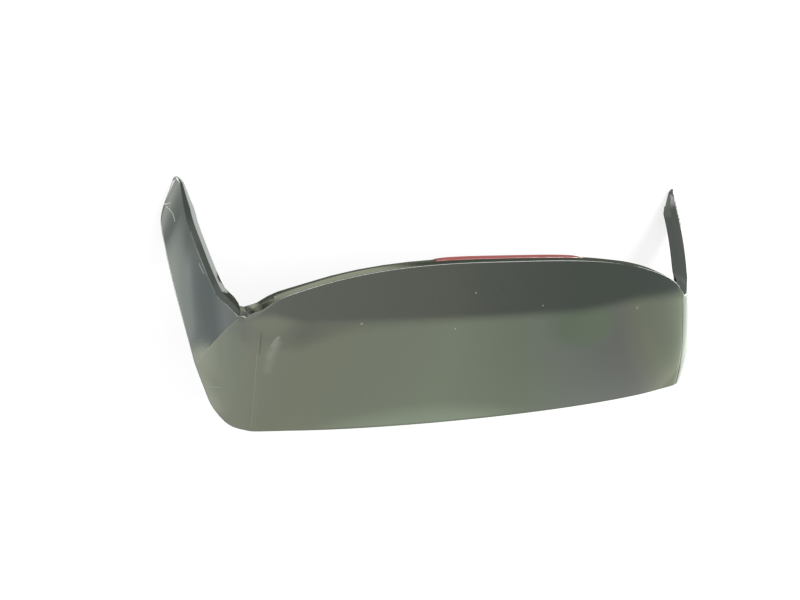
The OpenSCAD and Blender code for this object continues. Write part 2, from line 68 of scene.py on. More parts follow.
def addNode(tree, kind, settings=None, inputs=None):
    # inputs holds plain values, sockets, or nodes whose first output is wanted
    node = tree.nodes.new(kind)
    for name, value in (settings or {}).items():
        setattr(node, name, value)
    for name, value in (inputs or {}).items():
        if isinstance(value, bpy.types.Node):
            value = value.outputs[0]
        if isinstance(value, bpy.types.NodeSocket):
            tree.links.new(value, node.inputs[name])
        else:
            node.inputs[name].default_value = value
    return node


def newObject(name, data):
    thing = bpy.data.objects.new(name, data)
    bpy.context.scene.collection.objects.link(thing)
    return thing


def meshObject(name, points, faces, sharpAngle=32):
    mesh = bpy.data.meshes.new(name)
    mesh.from_pydata([tuple(p) for p in points], [], faces)
    mesh.validate()
    mesh.shade_smooth()
    mesh.set_sharp_from_angle(angle=math.radians(sharpAngle))
    return newObject(name, mesh)


# The skin's shape, in millimetres, drawn lying back as in the part's own source:
# x across the car, y rearwards from the front edge, z up from the winglet tips

skinShape = {
    "chord": 301, "teSweep": 79, "sweepPower": 3, "refHalf": 480,
    "bladeHeight": 230, "crown": 66, "crownPower": 2.1, "rise": 0.1, "camber": 23, "camberSpan": 310,
    "creaseX": 489, "creaseLean": 0.11, "creaseRun": 236,
    "cornerSlope": 0.39, "cornerCurve": 0.0015, "creaseRound": 14, "creaseFade": 110, "fadeSpan": 200,
    "wingletSlope": 0.13, "wingletCurve": -0.0006, "wingletReach": 237, "notchOut": 16, "cornerEnd": 119,
    "foldTurn": 38.9, "foldAhead": 2, "foldRun": 113, "foldRound": 25, "foldGain": 200,
    "tipRound": 20, "tipBulge": 12, "bulgeSpan": 0.1,
    "groove": 1.2, "grooveWidth": 2.4, "grooveEnd": 0.55,
    "thickness": 3, "edgeDrop": 9, "edgeOut": 0.9,
    "notchDip": 12, "dipRun": 73, "dipFull": 17,
    "stepBlade": (5.7, 17), "dropBlade": (0.5, 20), "stepWing": (11, 10), "dropWing": (9, 16),
    "upperSwell": 1.3, "lowerSwell": 1.3, "notchTrim": 0.2, "lipTrim": 0.14,
    "ledge": 0.8, "foldRadius": 1.7, "notchFold": 4.5,
    "pitch": 12, "studBack": 112, "studDx": 660, "studDy": 90, "bossMin": 4, "shellThickness": 2.5,
    "shellFrontDown": 8, "shellFrontIn": 4, "shellRearIn": 24,
    "lensHalf": 159,
}
shape = skinShape
creaseV = 0.5       # where the crease and the notch lie in the net's columns, which end at 1
notchV = 0.68


def ease(t):
    c = np.clip(t, 0, 1)
    return c * c * (3 - 2 * c)


def mix(a, b, t):
    return a + (b - a) * t


def soft(d, r):
    return (d + np.sqrt(d * d + r * r)) / 2


notchX = shape["creaseX"] + shape["notchOut"]


def trailingY(x):
    # swept towards the ends, with a dip beside the notch
    a = np.abs(x)
    dip = (ease((a - notchX + shape["dipRun"]) / (shape["dipRun"] - shape["dipFull"]))
           * ease((notchX - a) / shape["dipFull"]))
    sweep = shape["teSweep"] * (a / shape["refHalf"]) ** shape["sweepPower"]
    return shape["chord"] - sweep - shape["notchDip"] * dip


notchY = trailingY(notchX)
tipY = notchY + shape["wingletReach"]
creaseRear = shape["creaseX"] - shape["creaseLean"] * shape["creaseRun"]


def skinHeight(x, y):
    # the crowned blade, falling away past the crease and again past the winglet's fold
    out = np.abs(x)
    t = y / shape["camberSpan"]
    blade = (shape["bladeHeight"] + shape["rise"] * y + 4 * shape["camber"] * t * (1 - t)
             - shape["crown"] * (out / shape["refHalf"]) ** shape["crownPower"])
    past = out - (shape["creaseX"] - shape["creaseLean"] * y)
    f1 = soft(past, mix(shape["creaseRound"], shape["creaseFade"], ease(y / shape["fadeSpan"])))
    c, s = math.cos(math.radians(shape["foldTurn"])), math.sin(math.radians(shape["foldTurn"]))
    fx, fy = out - notchX, y - (notchY - shape["foldAhead"])
    w = np.clip((fx * s - fy * c) / shape["foldRun"], 0, 1)
    f2 = soft(fx * c + fy * s, shape["foldRound"] + shape["foldGain"] * w * w)
    z = (blade - shape["cornerSlope"] * f1 - shape["cornerCurve"] * f1 ** 2
         - shape["wingletSlope"] * f2 - shape["wingletCurve"] * f2 ** 2)
    return (z + np.sqrt(z * z + shape["tipRound"] ** 2)) / 2


def curveThrough(points, t):
    # Catmull-Rom, t from 0 to 1
    p = np.array(points, float)
    last = len(p) - 1
    s = np.clip(t * last, 0, last - 1e-6)
    i = np.floor(s).astype(int)
    f = (s - i)[:, None]
    b, c = p[i], p[i + 1]
    a = np.where((i > 0)[:, None], p[np.maximum(i - 1, 0)], 2 * b - c)
    d = np.where((i + 2 <= last)[:, None], p[np.minimum(i + 2, last)], 2 * c - b)
    return 0.5 * (2 * b + (c - a) * f + (2 * a - 5 * b + 4 * c - d) * f ** 2
                  + (3 * b - a - 3 * c + d) * f ** 3)


cornerPoints = [(shape["creaseX"] + a, b)
                for a, b in ((0, 0), (34, 10), (60, 41), (74, 78), (87, shape["cornerEnd"]))]
sidePoints = [(shape["creaseX"] + a, mix(shape["cornerEnd"], tipY, b))
              for a, b in ((87, 0), (101, 0.2), (112, 0.355), (120, 0.483),
                           (128, 0.633), (133, 0.81), (112, 1))]
lipPoints = [(shape["creaseX"] + a, mix(notchY, tipY, b))
             for a, b in ((16, 0), (31, 0.076), (48, 0.152), (62, 0.3), (77, 0.502), (92, 0.743), (98, 1))]


def plan(u, v):
    # place in plan for rows u from the front to the trailing edge and columns v from tip to tip
    u, v = np.broadcast_arrays(np.asarray(u, float), np.asarray(v, float))
    form = u.shape
    u, v = u.ravel(), v.ravel()
    a = np.abs(v)
    front, rear = np.zeros((len(a), 2)), np.zeros((len(a), 2))
    m = a <= creaseV
    front[m, 0] = shape["creaseX"] * a[m] / creaseV
    rear[m, 0] = creaseRear * a[m] / creaseV
    m = (a > creaseV) & (a <= notchV)
    front[m] = curveThrough(cornerPoints, (a[m] - creaseV) / (notchV - creaseV))
    rear[m, 0] = mix(creaseRear, notchX, (a[m] - creaseV) / (notchV - creaseV))
    m = a <= notchV
    rear[m, 1] = trailingY(rear[m, 0])
    m = a > notchV
    front[m] = curveThrough(sidePoints, (a[m] - notchV) / (1 - notchV))
    rear[m] = curveThrough(lipPoints, (a[m] - notchV) / (1 - notchV))
    p = front + (rear - front) * u[:, None]
    p[:, 1] += shape["tipBulge"] * 4 * u * (1 - u) * ease((a - 1) / shape["bulgeSpan"] + 1)
    p[:, 0] = np.where(v < 0, -p[:, 0], p[:, 0])
    return p.reshape(form + (2,))


def lowerShellHeight(x, y):
    # upper face of the lower shell, straight from the front edge to the fascia's foot
    rearEdge = trailingY(x)
    front = skinHeight(x, 0) - shape["shellFrontDown"]
    rear = skinHeight(x, rearEdge) - shape["stepBlade"][1] - shape["dropBlade"][1]
    run = (y - shape["shellFrontIn"]) / (rearEdge - shape["shellRearIn"] - shape["shellFrontIn"])
    return mix(front, rear, run)


pitch = math.radians(shape["pitch"])
seatHeight = (lowerShellHeight(shape["studDx"] / 2, shape["studBack"] + shape["studDy"] / 2)
              - shape["shellThickness"] - shape["bossMin"] - shape["studDy"] / 2 * math.tan(pitch))


def onCar(points):
    # lying millimetres to the part's own frame, in metres
    p = np.array(points, float).reshape(-1, 3)
    y, z = p[:, 1] - shape["studBack"], p[:, 2] - seatHeight
    return np.stack([p[:, 0], y * math.cos(pitch) + z * math.sin(pitch),
                     z * math.cos(pitch) - y * math.sin(pitch)], 1) / 1000


def onCarDirection(d):
    return Vector((d[0], d[1] * math.cos(pitch) + d[2] * math.sin(pitch),
                   d[2] * math.cos(pitch) - d[1] * math.sin(pitch))).normalized()


# Outer skin: one moulding, with its edges turned down and the two-step fascia along the rear

# columns on the blade, at the crease, on the corner, at the notch and on the winglet: from, to, how many
skinNet = {"columns": [(0, 0.47, 64), (0.47, 0.53, 17), (0.53, 0.665, 22), (0.665, 0.695, 13),
                       (0.695, 1, 52)],
           "rows": 52, "edgeRows": 5, "rim": 0.05, "closest": 2e-4}


def netColumns():
    # with two at each end of the lamp's window, so that it ends sharply
    lensV = creaseV * shape["lensHalf"] / creaseRear
    half = np.concatenate([np.linspace(*span) for span in skinNet["columns"]] + [[lensV, lensV * 1.01]])
    half = np.unique(np.round(half, 7))
    half = half[np.append(True, np.diff(half) > skinNet["closest"])]
    return np.concatenate([-half[:0:-1], half]), lensV


def netRows():
    rim, edgeRows = skinNet["rim"], skinNet["edgeRows"]
    rows = [np.linspace(0, rim, edgeRows), np.linspace(rim, 1 - rim, skinNet["rows"]),
            np.linspace(1 - rim, 1, edgeRows)]
    return np.unique(np.round(np.concatenate(rows), 7))


turnReach = 26      # how far the trailing edge's direction looks to each side, past the notch
# rough distance along the trailing edge to the crease, the notch and the tip, and the columns there
edgeRun = np.array([0, creaseRear, creaseRear + 50, creaseRear + 327])
edgeV = np.array([0, creaseV, notchV, 1])


def outwardAlong(border):
    # the direction in plan in which the skin's edge faces, at each place of its border
    u, v = border[:, 0], border[:, 1]
    p = plan(u, v)
    t = np.roll(p, -1, 0) - np.roll(p, 1, 0)
    rear = (u == 1) & (np.abs(v) < 1)
    run = np.sign(v) * np.interp(np.abs(v), edgeV, edgeRun)

    def placeAt(r):
        return plan(np.ones_like(r), np.sign(r) * np.interp(np.abs(r), edgeRun, edgeV))

    t[rear] = (placeAt(run - turnReach) - placeAt(run + turnReach))[rear]
    t = t / np.maximum(1e-9, np.linalg.norm(t, axis=1))[:, None]
    return np.stack([t[:, 1], -t[:, 0]], 1)


def roundOver(radius, end=math.pi / 2, steps=7):
    # an arc that leaves the skin level and ends at the given slope: [outwards, downwards] pairs
    return [(radius * math.sin(a), radius * (1 - math.cos(a))) for a in np.linspace(0, end, steps + 1)[1:]]


def frontSection(z):
    # rounded over, straight down, and a little way back up inside
    drop = min(shape["edgeDrop"], z - 1)
    out, inside = shape["edgeOut"], shape["edgeOut"] - shape["thickness"]
    down = [(out, drop * share) for share in (0.3, 0.5, 0.65, 0.8, 0.95, 1)]
    return roundOver(out) + down + [(inside, drop), (inside, drop * 0.6)]


# Where along the columns the rear section changes: where each change starts and how long it takes.
# tipRoom is a height, because the facets shrink where the skin comes down to the winglet's tip
rearSpans = {"toWing": (0.4, 0.24), "pastLamp": (0.18, 0.14), "swellEnds": (0.34, 0.1), "swellKept": 0.25,
             "creaseFold": (0.5, 0.06), "foldPastNotch": 0.02, "notchWidth": 0.07, "lip": (0.735, 0.028),
             "tipRoom": (3, 34), "closeRow": 0.5, "closeShare": 3.4}


def progress(a, span):
    return float(ease((a - span[0]) / span[1]))


def rearSection(v, z, lensV):
    # upper facet, a small ledge and the lower facet, each with rows close to its edges so that it looks flat
    a, t, spans = abs(v), shape["thickness"], rearSpans
    toWing, pastLamp = progress(a, spans["toWing"]), progress(a, spans["pastLamp"])
    room = min(1, max(0, (z - spans["tipRoom"][0]) / spans["tipRoom"][1]))
    size = room * (1 - shape["notchTrim"] * (1 - float(ease(abs(a - notchV) / spans["notchWidth"]))))
    size *= 1 - shape["lipTrim"] * math.exp(-((a - spans["lip"][0]) / spans["lip"][1]) ** 2)
    swell = shape["upperSwell"] * (pastLamp - (1 - spans["swellKept"]) * progress(a, spans["swellEnds"]))
    stepBlade = np.array(shape["stepBlade"]) + [swell, 0]
    dropBlade = np.array(shape["dropBlade"]) + [shape["lowerSwell"] * (1 - pastLamp), 0]
    upper = size * mix(stepBlade, np.array(shape["stepWing"]), toWing)
    lower = upper + size * mix(dropBlade, np.array(shape["dropWing"]), toWing)
    foldEnds = (-notchV - spans["foldPastNotch"], spans["creaseFold"][1])
    near = progress(a, spans["creaseFold"]) * progress(-a, foldEnds)
    radius = room * (shape["foldRadius"] + shape["notchFold"] * near)
    slope = math.atan2(upper[1], upper[0])
    for _ in range(6):
        slope = math.atan2(upper[1] - radius * (1 - math.cos(slope)), upper[0] - radius * math.sin(slope))
    fold = roundOver(radius, slope)
    close = min(spans["closeRow"], spans["closeShare"] * room)
    first = np.array([math.cos(slope), math.sin(slope)]) * close
    if a <= lensV + 1e-6:
        # over the lamp only the upper facet stays, and its edge turns in above the lens
        return fold + [upper - first, upper, upper + [0.1, 0.5], upper + [0.2, 1], upper + [0.2 - t / 2, 1],
                       upper + [0.2 - t, 1], (upper[0] - t - 0.8, upper[1] * 0.75),
                       (upper[0] - t - 1.5, upper[1] / 2)]
    step = upper + shape["ledge"] * room
    second = (lower - step) / max(1e-9, float(np.linalg.norm(lower - step))) * close
    return fold + [upper - first, upper, step, step + second, lower - second, lower,
                   lower - [t, 0], upper - [t, 0]]


def makeSkin():
    columns, lensV = netColumns()
    rows = netRows()
    cols, count = len(columns), len(rows) * len(columns)
    u, v = np.meshgrid(rows, columns, indexing="ij")
    p = plan(u, v)
    x, y = p[..., 0], p[..., 1]
    z = skinHeight(x, y)
    past = np.abs(x) - (shape["creaseX"] - shape["creaseLean"] * y)
    across = np.exp(-(past / shape["grooveWidth"]) ** 2)
    top = np.stack([x, y, z - shape["groove"] * (1 - ease(u / shape["grooveEnd"])) * across], -1)

    # once round the net: the front edge, the right tip, the trailing edge and the left tip
    lastV, lastU = cols - 1, len(rows) - 1
    ring = ([(0, j) for j in range(lastV)] + [(i, lastV) for i in range(lastU)]
            + [(lastU, j) for j in range(lastV, 0, -1)] + [(i, 0) for i in range(lastU, 0, -1)])
    border = np.array([(rows[i], columns[j]) for i, j in ring])
    out = outwardAlong(border)
    onEdge = [top[i, j] for i, j in ring]

    sections = []
    for (ru, rv), point in zip(border, onEdge):
        height = float(skinHeight(point[0], point[1]))
        front = np.array(frontSection(height), float)
        rear = np.array(rearSection(rv, height, lensV), float)
        sections.append(mix(front, rear, float(ease(ru))))
    bands = len(sections[0])

    under = p.copy()
    for k, (i, j) in enumerate(ring):
        under[i, j] = under[i, j] - shape["thickness"] * out[k]
    ux, uy = under[..., 0], under[..., 1]
    dx = skinHeight(ux + 1, uy) - skinHeight(ux, uy)
    dy = skinHeight(ux, uy + 1) - skinHeight(ux, uy)
    inner = np.stack([ux, uy, skinHeight(ux, uy) - shape["thickness"] * np.sqrt(1 + dx ** 2 + dy ** 2)], -1)

    skirt = []
    for r in range(bands):
        for k, point in enumerate(onEdge):
            step = sections[k][r]
            skirt.append((point[0] + step[0] * out[k][0], point[1] + step[0] * out[k][1], point[2] - step[1]))

    faces = []
    for i in range(lastU):
        for j in range(lastV):
            a, b, c, d = i * cols + j, i * cols + j + 1, (i + 1) * cols + j + 1, (i + 1) * cols + j
            faces.append((a, b, c, d))
            faces.append((count + d, count + c, count + b, count + a))
    loops = [[i * cols + j for i, j in ring]]
    loops += [[2 * count + r * len(ring) + k for k in range(len(ring))] for r in range(bands)]
    loops += [[count + i * cols + j for i, j in ring]]
    for upper, lower in zip(loops, loops[1:]):
        for k in range(len(ring)):
            m = (k + 1) % len(ring)
            faces.append((upper[m], upper[k], lower[k], lower[m]))
    points = onCar(np.concatenate([top.reshape(-1, 3), inner.reshape(-1, 3), np.array(skirt)]))
    return meshObject("skin", points, faces)


skin = makeSkin()
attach(skin, "root")
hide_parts("outer_skin")
print("skin made:", len(skin.data.polygons), "faces")


# Lamp lens, swept along the trailing edge, with fluted optics behind it

lensShape = {"half": 158.6, "top": 20, "bottom": 37, "outTop": 6.8, "outBottom": 8.45, "bulge": 2.5,
             "bulgePower": 12, "thickness": 3.2, "round": 0.7, "station": 3,
             "flutePitch": 2.8, "fluteRadius": 0.9, "fluteInset": 3, "fluteEnd": 150, "lineSteps": 120}


def besideEdge(x, out, down):
    # a place measured outwards and downwards from the trailing edge
    y = trailingY(x)
    slope = trailingY(x + 0.5) - trailingY(x - 0.5)
    n = math.hypot(1, slope)
    return (x - out * slope / n, y + out / n, float(skinHeight(x, y)) - down)


def sweepAlongEdge(name, profile, half, station):
    steps = int(round(2 * half / station))
    xs = np.linspace(-half, half, steps + 1)
    count = len(profile(0))
    points = [besideEdge(x, o, d) for x in xs for o, d in profile(x)]
    faces = []
    for i in range(steps):
        for k in range(count):
            a, b = i * count + k, i * count + (k + 1) % count
            faces.append((a, b, b + count, a + count))
    faces.append(tuple(range(count - 1, -1, -1)))
    faces.append(tuple(steps * count + k for k in range(count)))
    return meshObject(name, onCar(points), faces)


def lensProfile(x):
    s, r = lensShape, lensShape["round"]
    low = s["outBottom"] + s["bulge"] * (1 - (x / shape["lensHalf"]) ** s["bulgePower"])
    lean = math.atan2(low - s["outTop"], s["bottom"] - s["top"])
    top = [(s["outTop"] - r + r * math.sin(a), s["top"] + r - r * math.cos(a))
           for a in np.linspace(0, math.pi / 2 + lean, 5)]
    foot = [(low - r + r * math.cos(a), s["bottom"] - r + r * math.sin(a))
            for a in np.linspace(lean, math.pi / 2, 5)]
    back = [(s["outBottom"] - s["thickness"], s["bottom"]), (s["outTop"] - s["thickness"], s["top"])]
    return top + foot + back


lens = sweepAlongEdge("lens", lensProfile, lensShape["half"], lensShape["station"])


# Geometry node trees: the first and last nodes of each, and how it becomes a plain piece

def newTree(name, floats):
    tree = bpy.data.node_groups.new(name, "GeometryNodeTree")
    tree.interface.new_socket("Geometry", in_out="INPUT", socket_type="NodeSocketGeometry")
    for key in floats:
        tree.interface.new_socket(key, in_out="INPUT", socket_type="NodeSocketFloat")
    tree.interface.new_socket("Material", in_out="INPUT", socket_type="NodeSocketMaterial")
    tree.interface.new_socket("Geometry", in_out="OUTPUT", socket_type="NodeSocketGeometry")
    return tree, tree.nodes.new("NodeGroupInput")


def closeTree(tree, source, geometry):
    # real geometry with its material
    solid = addNode(tree, "GeometryNodeRealizeInstances", {}, {"Geometry": geometry})
    painted = addNode(tree, "GeometryNodeSetMaterial", {},
                      {"Geometry": solid, "Material": source.outputs["Material"]})
    addNode(tree, "NodeGroupOutput", {}, {"Geometry": painted})


def grownPiece(name, tree, base, values):
    # runs the tree on the base object and keeps the result as a plain mesh
    modifier = base.modifiers.new("grow", "NODES")
    modifier.node_group = tree
    for item in tree.interface.items_tree:
        if item.item_type == "SOCKET" and item.in_out == "INPUT" and item.name in values:
            modifier[item.identifier] = values[item.name]
    depsgraph = bpy.context.evaluated_depsgraph_get()
    mesh = bpy.data.meshes.new_from_object(base.evaluated_get(depsgraph))
    mesh.name = name
    bpy.data.objects.remove(base)
    return newObject(name, mesh)


def baseObject(name, points, edges=()):
    mesh = bpy.data.meshes.new(name)
    mesh.from_pydata([tuple(p) for p in points], list(edges), [])
    return newObject(name, mesh)


def copiesOnPoints(tree, source, points, copy):
    # the same copy on every point, leaning back as the tree's Turn input says
    turn = addNode(tree, "ShaderNodeCombineXYZ", {}, {"X": source.outputs["Turn"]})
    return addNode(tree, "GeometryNodeInstanceOnPoints", {}, {
        "Points": points, "Instance": copy, "Rotation": turn})


def fluteTree():
    tree, source = newTree("LensFlutes", ("Spacing", "Radius", "Height", "Turn"))
    line = addNode(tree, "GeometryNodeMeshToCurve", {}, {"Mesh": source.outputs["Geometry"]})
    even = addNode(tree, "GeometryNodeResampleCurve", {"mode": "LENGTH"},
                   {"Curve": line, "Length": source.outputs["Spacing"]})
    rod = addNode(tree, "GeometryNodeMeshCylinder", {"fill_type": "NGON"},
                  {"Vertices": 12, "Radius": source.outputs["Radius"], "Depth": source.outputs["Height"]})
    closeTree(tree, source, copiesOnPoints(tree, source, even, rod.outputs["Mesh"]))
    return tree


# Finishes. Each starts from what the real surface is; patterns are sized in metres on Object coordinates

def newMaterial(name, colour, roughness, **sockets):
    material = bpy.data.materials.new(name)
    material.use_nodes = True
    tree = material.node_tree
    shader = tree.nodes["Principled BSDF"]
    shader.inputs["Base Color"].default_value = hexColour(colour)
    shader.inputs["Roughness"].default_value = roughness
    for key, value in sockets.items():
        shader.inputs[key.replace("_", " ")].default_value = value
    place = addNode(tree, "ShaderNodeTexCoord").outputs["Object"]
    return material, tree, shader, place


def blendColours(tree, amount, first, second):
    # first and second are sRGB hex values, linear colours or sockets
    node = addNode(tree, "ShaderNodeMix", {"data_type": "RGBA"}, {"Factor": amount})
    for socket, value in ((node.inputs[6], first), (node.inputs[7], second)):
        if isinstance(value, bpy.types.NodeSocket):
            tree.links.new(value, socket)
        else:
            socket.default_value = hexColour(value) if isinstance(value, str) else value
    return node.outputs[2]


def noise(tree, place, scale, detail=2.0, roughness=0.5):
    return addNode(tree, "ShaderNodeTexNoise", {}, {
        "Vector": place, "Scale": scale, "Detail": detail, "Roughness": roughness})


def mapped(tree, value, low, high, first=0.0, last=1.0):
    # first where the value is low, last where it is high
    return addNode(tree, "ShaderNodeMapRange", {}, {
        "Value": value, "From Min": low, "From Max": high, "To Min": first, "To Max": last})


def softStep(tree, value, low, high, first=0.0, last=1.0):
    node = mapped(tree, value, low, high, first, last)
    node.interpolation_type = "SMOOTHSTEP"
    return node


def number(tree, operation, *values):
    return addNode(tree, "ShaderNodeMath", {"operation": operation}, dict(enumerate(values))).outputs[0]


def varyColour(tree, shader, amount, first, second):
    tree.links.new(blendColours(tree, amount, first, second), shader.inputs["Base Color"])


def varyRoughness(tree, shader, roughness):
    tree.links.new(roughness.outputs[0], shader.inputs["Roughness"])


def addBump(tree, shader, height, strength, distance):
    bump = addNode(tree, "ShaderNodeBump", {}, {"Height": height, "Strength": strength, "Distance": distance})
    tree.links.new(bump.outputs[0], shader.inputs["Normal"])


def lineMaskGroup():
    # full strength on a line between two places, seen from above with the spoiler lying back; 0 beyond Width
    tree = bpy.data.node_groups.new("LineMask", "ShaderNodeTree")
    for key in ("Place", "From", "To"):
        tree.interface.new_socket(key, in_out="INPUT", socket_type="NodeSocketVector")
    for key in ("Width", "Strength"):
        tree.interface.new_socket(key, in_out="INPUT", socket_type="NodeSocketFloat")
    tree.interface.new_socket("Mask", in_out="OUTPUT", socket_type="NodeSocketFloat")
    source = tree.nodes.new("NodeGroupInput").outputs

    def vector(operation, first, second):
        return addNode(tree, "ShaderNodeVectorMath", {"operation": operation}, {0: first, 1: second})

    toPlace = vector("SUBTRACT", source["Place"], source["From"])
    line = vector("SUBTRACT", source["To"], source["From"])
    flat = vector("MULTIPLY", toPlace, (1, 1, 0))
    reach = vector("DOT_PRODUCT", flat, line)
    whole = vector("DOT_PRODUCT", line, line)
    share = addNode(tree, "ShaderNodeMath", {"operation": "DIVIDE", "use_clamp": True},
                    {0: reach.outputs["Value"], 1: whole.outputs["Value"]})
    foot = addNode(tree, "ShaderNodeVectorMath", {"operation": "SCALE"}, {0: line, "Scale": share})
    gap = vector("DISTANCE", flat, foot)
    mask = softStep(tree, gap.outputs["Value"], 0.0, source["Width"], source["Strength"], 0.0)
    addNode(tree, "NodeGroupOutput", {}, {"Mask": mask})
    return tree


# Places of the marks in millimetres, lying back: from, to, half width, strength
paintWearAndPaintedLight = {
    "scratches": [((-620, 407), (-606, 410), 1.2, 0.6), ((-613, 403), (-607, 398), 1.1, 0.6),
                  ((-607, 398), (-602, 390), 1.1, 0.6), ((-602, 390), (-599, 376), 1.0, 0.55),
                  ((-563, 300), (-556, 282), 1.1, 0.35), ((-557, 79), (-533, 80), 0.9, 0.12)],
    # painted highlights: pale lines along the folds and creases, where their rounded edges catch light
    "paintedFoldHighlights": [((-574, 357), (-565, 325), 1.5, 0.12), ((-565, 325), (-551, 280), 1.5, 0.22),
                  ((-551, 280), (-540, 250), 1.3, 0.14),
                  ((-505, 205), (-531, 178), 1.2, 0.12), ((-531, 178), (-556, 146), 1.2, 0.1),
                  ((-556, 146), (-573, 121), 1.1, 0.08), ((-477, 146), (-489, 2), 1.0, 0.08)],
    "smears": [((-453, 160), (-442, 175), 4.2, 0.17), ((-449, 158), (-443, 167), 3.2, 0.15),
               ((-445, 166), (-458, 140), 11.0, 0.1), ((-452, 152), (-462, 118), 12.0, 0.05),
               ((291, 199), (293, 200), 5.0, 0.12)],
    "specks": [((-305, 197), (-303, 198), 1.8, 0.4), ((-95, 246), (-94, 247), 1.6, 0.35),
               ((46, 217), (47, 218), 1.6, 0.35), ((-135, 182), (-134, 183), 1.6, 0.3)],
    # painted shade: dark lines down the creases
    "paintedCreaseShade": [((-469, 182), (-473, 146), 1.4, 0.35), ((469, 185), (489, 2), 2.4, 0.9)],
    "dust": 0.35, "dustSize": 0.0012, "smudgeSize": 0.09, "peelSize": 0.004,
}
# The slight ridge where corner and winglet meet, from the notch to the outer edge, in metres
ridgeShape = {"from": (0.505, 0.205), "slope": 0.9, "curve": 5.0, "lean": 1.5,
              "height": 0.0006, "reach": 0.025, "start": 0.02}


def ridgeHeight(tree, laid):
    # height of the ridge over the skin; it falls away on both sides of its line
    r = ridgeShape
    place = addNode(tree, "ShaderNodeSeparateXYZ", {}, {"Vector": laid}).outputs
    out = number(tree, "SUBTRACT", number(tree, "ABSOLUTE", place["X"]), r["from"][0])
    bend = number(tree, "MULTIPLY_ADD", number(tree, "MULTIPLY", out, out), r["curve"],
                  number(tree, "MULTIPLY", out, r["slope"]))
    behind = number(tree, "SUBTRACT", place["Y"], r["from"][1])
    away = number(tree, "DIVIDE", number(tree, "ADD", behind, bend), r["lean"] * r["reach"])
    fall = number(tree, "EXPONENT", number(tree, "MULTIPLY", number(tree, "ABSOLUTE", away), -1.0))
    return number(tree, "MULTIPLY", fall, softStep(tree, out, -r["start"], 0.0, 0.0, r["height"]))


def strongest(tree, laid, marks, lineMaskTree):
    # one mask of all the marks
    masks = None
    for start, end, width, strength in marks:
        line = addNode(tree, "ShaderNodeGroup", {"node_tree": lineMaskTree}, {
            "Place": laid, "From": [c / 1000 for c in start] + [0], "To": [c / 1000 for c in end] + [0],
            "Width": width / 1000, "Strength": strength}).outputs[0]
        masks = line if masks is None else number(tree, "MAXIMUM", masks, line)
    return masks


def paintFinish():
    # Gloss black two-pack paint over moulded ABS: near-black with an olive cast, mirror sharp,
    # with the slight ripple that sprayed lacquer has, fine dust and wear marks;
    # pale lines along the folds are painted highlights, and dark lines in the creases are painted shade
    material, tree, shader, place = newMaterial("GlossBlackLacquer", "#3a3e39", 0.05, IOR=1.8)
    laid = addNode(tree, "ShaderNodeMapping", {}, {
        "Vector": place, "Rotation": (pitch, 0, 0),
        "Location": (0, shape["studBack"] / 1000, seatHeight / 1000)})
    smudge = noise(tree, laid, 1 / paintWearAndPaintedLight["smudgeSize"], detail=5.0, roughness=0.6)
    haze = mapped(tree, smudge, 0.4, 0.7, 0.035, 0.075)
    specks = addNode(tree, "ShaderNodeTexVoronoi", {}, {
        "Vector": laid, "Scale": 0.12 / paintWearAndPaintedLight["dustSize"]})
    dust = mapped(tree, specks.outputs["Distance"], 0.03, 0.07, paintWearAndPaintedLight["dust"], 0.0)
    colour = blendColours(tree, haze, "#3a3e39", "#43463f")
    colour = blendColours(tree, dust, colour, "#8d8e86")
    lineMaskTree = lineMaskGroup()
    # pale marks: scratches, smears and dust specks, with the painted highlights along the folds
    pale = strongest(tree, laid, paintWearAndPaintedLight["scratches"] + paintWearAndPaintedLight["paintedFoldHighlights"] + paintWearAndPaintedLight["smears"]
                     + paintWearAndPaintedLight["specks"], lineMaskTree)
    # painted shade along the creases
    paintedShade = strongest(tree, laid, paintWearAndPaintedLight["paintedCreaseShade"], lineMaskTree)
    colour = blendColours(tree, pale, colour, "#f2f4ee")
    colour = blendColours(tree, paintedShade, colour, "#0c0d0c")
    tree.links.new(colour, shader.inputs["Base Color"])
    # the painted crease shade doesn't shine, and it and the pale marks are rougher than the lacquer
    dull = number(tree, "MULTIPLY_ADD", paintedShade, -0.5, 0.5)
    tree.links.new(dull, shader.inputs["Specular IOR Level"])
    markRoughness = number(tree, "MULTIPLY_ADD", number(tree, "MAXIMUM", pale, paintedShade), 0.5, haze.outputs[0])
    tree.links.new(markRoughness, shader.inputs["Roughness"])
    peel = noise(tree, laid, 1 / paintWearAndPaintedLight["peelSize"], detail=1.0, roughness=0.4)
    ripple = addNode(tree, "ShaderNodeBump", {}, {"Height": peel, "Strength": 0.02, "Distance": 0.001})
    ridge = addNode(tree, "ShaderNodeBump", {}, {
        "Height": ridgeHeight(tree, laid), "Strength": 1.0, "Distance": 1.0, "Normal": ripple})
    tree.links.new(ridge.outputs[0], shader.inputs["Normal"])
    return material


def grainedFinish():
    # Black polypropylene moulding with an etched grain about 0.9 mm wide, a little coarse so that it shows
    material, tree, shader, place = newMaterial("GrainedBlackPolypropylene", "#26272a", 0.55)
    grain = addNode(tree, "ShaderNodeTexVoronoi", {"feature": "SMOOTH_F1"}, {
        "Vector": place, "Scale": 1100.0, "Smoothness": 0.4})
    flow = noise(tree, place, 14.0, detail=4.0)
    varyColour(tree, shader, mapped(tree, flow, 0.3, 0.7), "#222326", "#2e2f31")
    varyRoughness(tree, shader, mapped(tree, flow, 0.3, 0.7, 0.48, 0.64))
    addBump(tree, shader, grain, 0.35, 0.0003)
    return material


